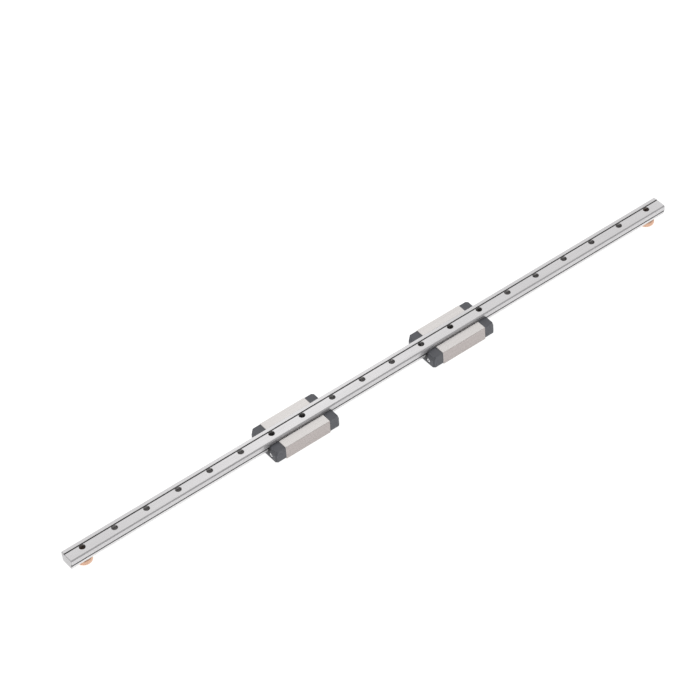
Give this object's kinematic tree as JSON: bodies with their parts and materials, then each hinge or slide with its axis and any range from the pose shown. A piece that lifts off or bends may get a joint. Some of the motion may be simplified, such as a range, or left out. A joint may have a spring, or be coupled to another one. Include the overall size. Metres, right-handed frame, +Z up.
{
  "type": "miniature linear guide rail",
  "caption": "Miniature ball linear guide: a slim ground steel rail with counterbored holes, long sliding carriages with dark end caps, and push-in end stops.",
  "frame": {"origin": "under the middle of the rail's length, on the plane of the carriages' mounting faces", "axes": "+X along the rail, +Y across it, +Z up from the carriages' mounting faces to the rail's base face"},
  "size_m": [0.3, 0.017, 0.008],
  "materials": {
    "rail_steel": "satin",
    "block_steel": "satin",
    "cap_plastic": "satin",
    "seal_rubber": "matte",
    "screw_steel": "polished",
    "ball_steel": "polished",
    "plug_plastic": "satin"
  },
  "bodies": {
    "guide_rail": {"rail": "rail_steel", "stop_plug_left": "plug_plastic", "stop_plug_right": "plug_plastic"},
    "carriage_a": {"carriage_a_block": "block_steel", "carriage_a_end_cap_left": "cap_plastic", "carriage_a_end_seal_left": "seal_rubber", "carriage_a_screw_left_front": "screw_steel", "carriage_a_screw_left_back": "screw_steel", "carriage_a_end_cap_right": "cap_plastic", "carriage_a_end_seal_right": "seal_rubber", "carriage_a_screw_right_front": "screw_steel", "carriage_a_screw_right_back": "screw_steel", "carriage_a_balls_front": "ball_steel", "carriage_a_balls_back": "ball_steel"},
    "carriage_b": {"carriage_b_block": "block_steel", "carriage_b_end_cap_left": "cap_plastic", "carriage_b_end_seal_left": "seal_rubber", "carriage_b_screw_left_front": "screw_steel", "carriage_b_screw_left_back": "screw_steel", "carriage_b_end_cap_right": "cap_plastic", "carriage_b_end_seal_right": "seal_rubber", "carriage_b_screw_right_front": "screw_steel", "carriage_b_screw_right_back": "screw_steel", "carriage_b_balls_front": "ball_steel", "carriage_b_balls_back": "ball_steel"}
  },
  "joints": [
    {"name": "carriage_a_slide", "type": "slide", "parent": "guide_rail", "child": "carriage_a", "axis": [1, 0, 0], "range_m": [-0.0819, 0.0252]},
    {"name": "carriage_b_slide", "type": "slide", "parent": "guide_rail", "child": "carriage_b", "axis": [1, 0, 0], "range_m": [-0.0219, 0.0852]}
  ]
}
